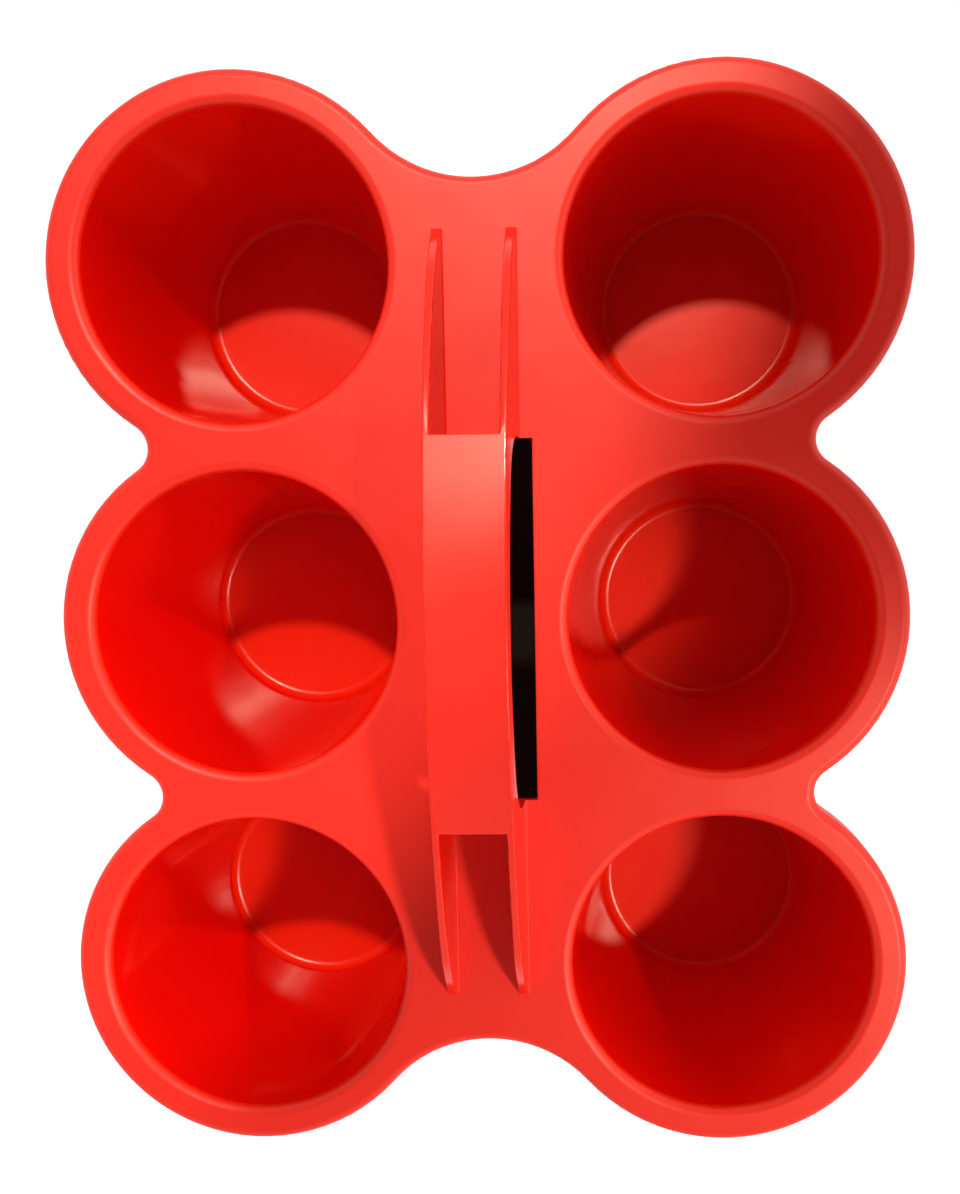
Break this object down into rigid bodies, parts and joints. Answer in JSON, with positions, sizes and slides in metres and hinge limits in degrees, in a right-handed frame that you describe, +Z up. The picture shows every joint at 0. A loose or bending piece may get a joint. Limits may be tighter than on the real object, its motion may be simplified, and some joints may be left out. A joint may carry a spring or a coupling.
{
  "type": "cup carrier",
  "caption": "One-piece moulded carrier: tapered cups hang from a flat lobed deck in two columns, with an arched grip on two ribs over a slot between them.",
  "frame": {"origin": "middle of the footprint, on the plane that the cup floors stand on", "axes": "+Z up out of the cups' mouths; Y along the grip and the columns of cups; X across the two columns"},
  "size_m": [0.2618, 0.3318, 0.1465],
  "materials": {
    "carrier_plastic": "semi-gloss injection-moulded polypropylene, orange-red"
  },
  "bodies": {
    "root": {"cup_carrier": "carrier_plastic"}
  },
  "joints": []
}
